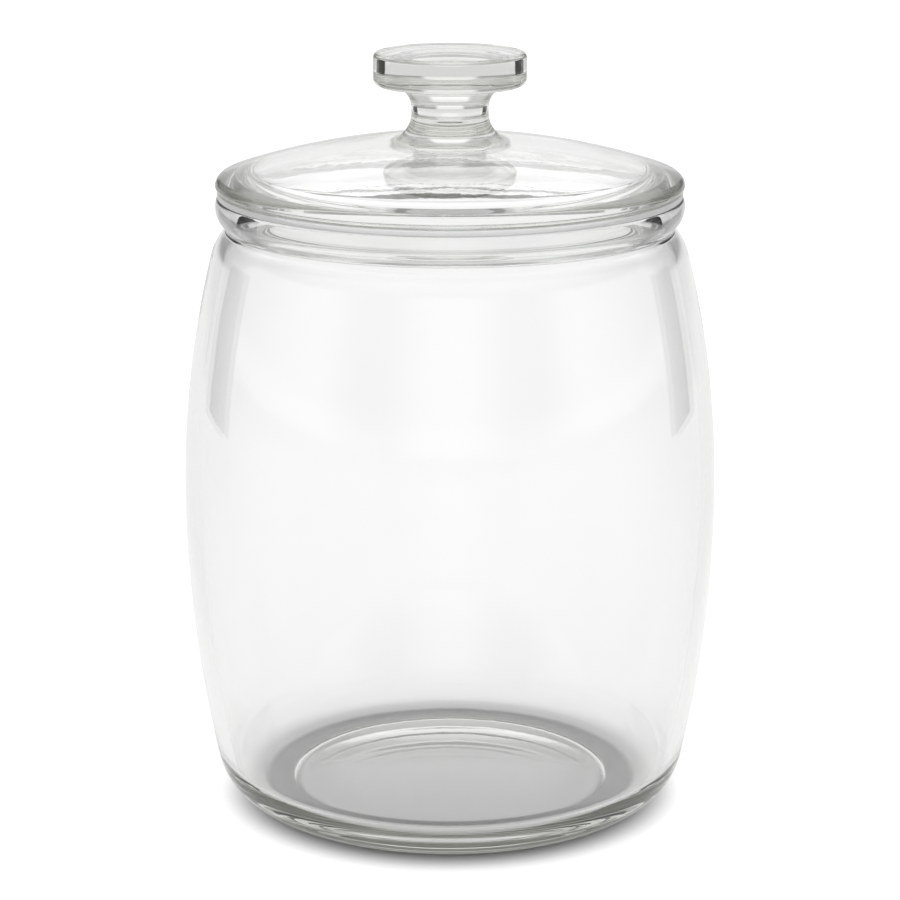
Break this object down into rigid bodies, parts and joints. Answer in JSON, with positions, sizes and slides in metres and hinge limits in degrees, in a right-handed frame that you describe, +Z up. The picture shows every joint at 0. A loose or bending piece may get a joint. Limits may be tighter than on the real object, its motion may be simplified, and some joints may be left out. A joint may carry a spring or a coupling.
{
  "type": "lidded glass canister",
  "caption": "Barrel-shaped clear glass canister with a domed glass lid, a disc knob and a clear soft seal ring; the lid lifts straight off.",
  "frame": {"origin": "on the jar's axis, at the level that its foot ring stands on", "axes": "+Z up along the axis that the jar, the seal ring and the lid share; the object is round, so +X and +Y are free"},
  "size_m": [0.178, 0.178, 0.2538],
  "materials": {
    "jar_glass": "polished, clear with a faint green edge",
    "clear_seal": "smooth, clear and soft",
    "lid_glass": "polished, clear with a grey-green edge"
  },
  "bodies": {
    "jar": {"jar": "jar_glass"},
    "lid": {"lid": "lid_glass", "seal_ring": "clear_seal"}
  },
  "joints": [
    {"name": "lid_lift", "type": "slide", "parent": "jar", "child": "lid", "axis": [0, 0, 1], "range_m": [0, 0.15]}
  ]
}
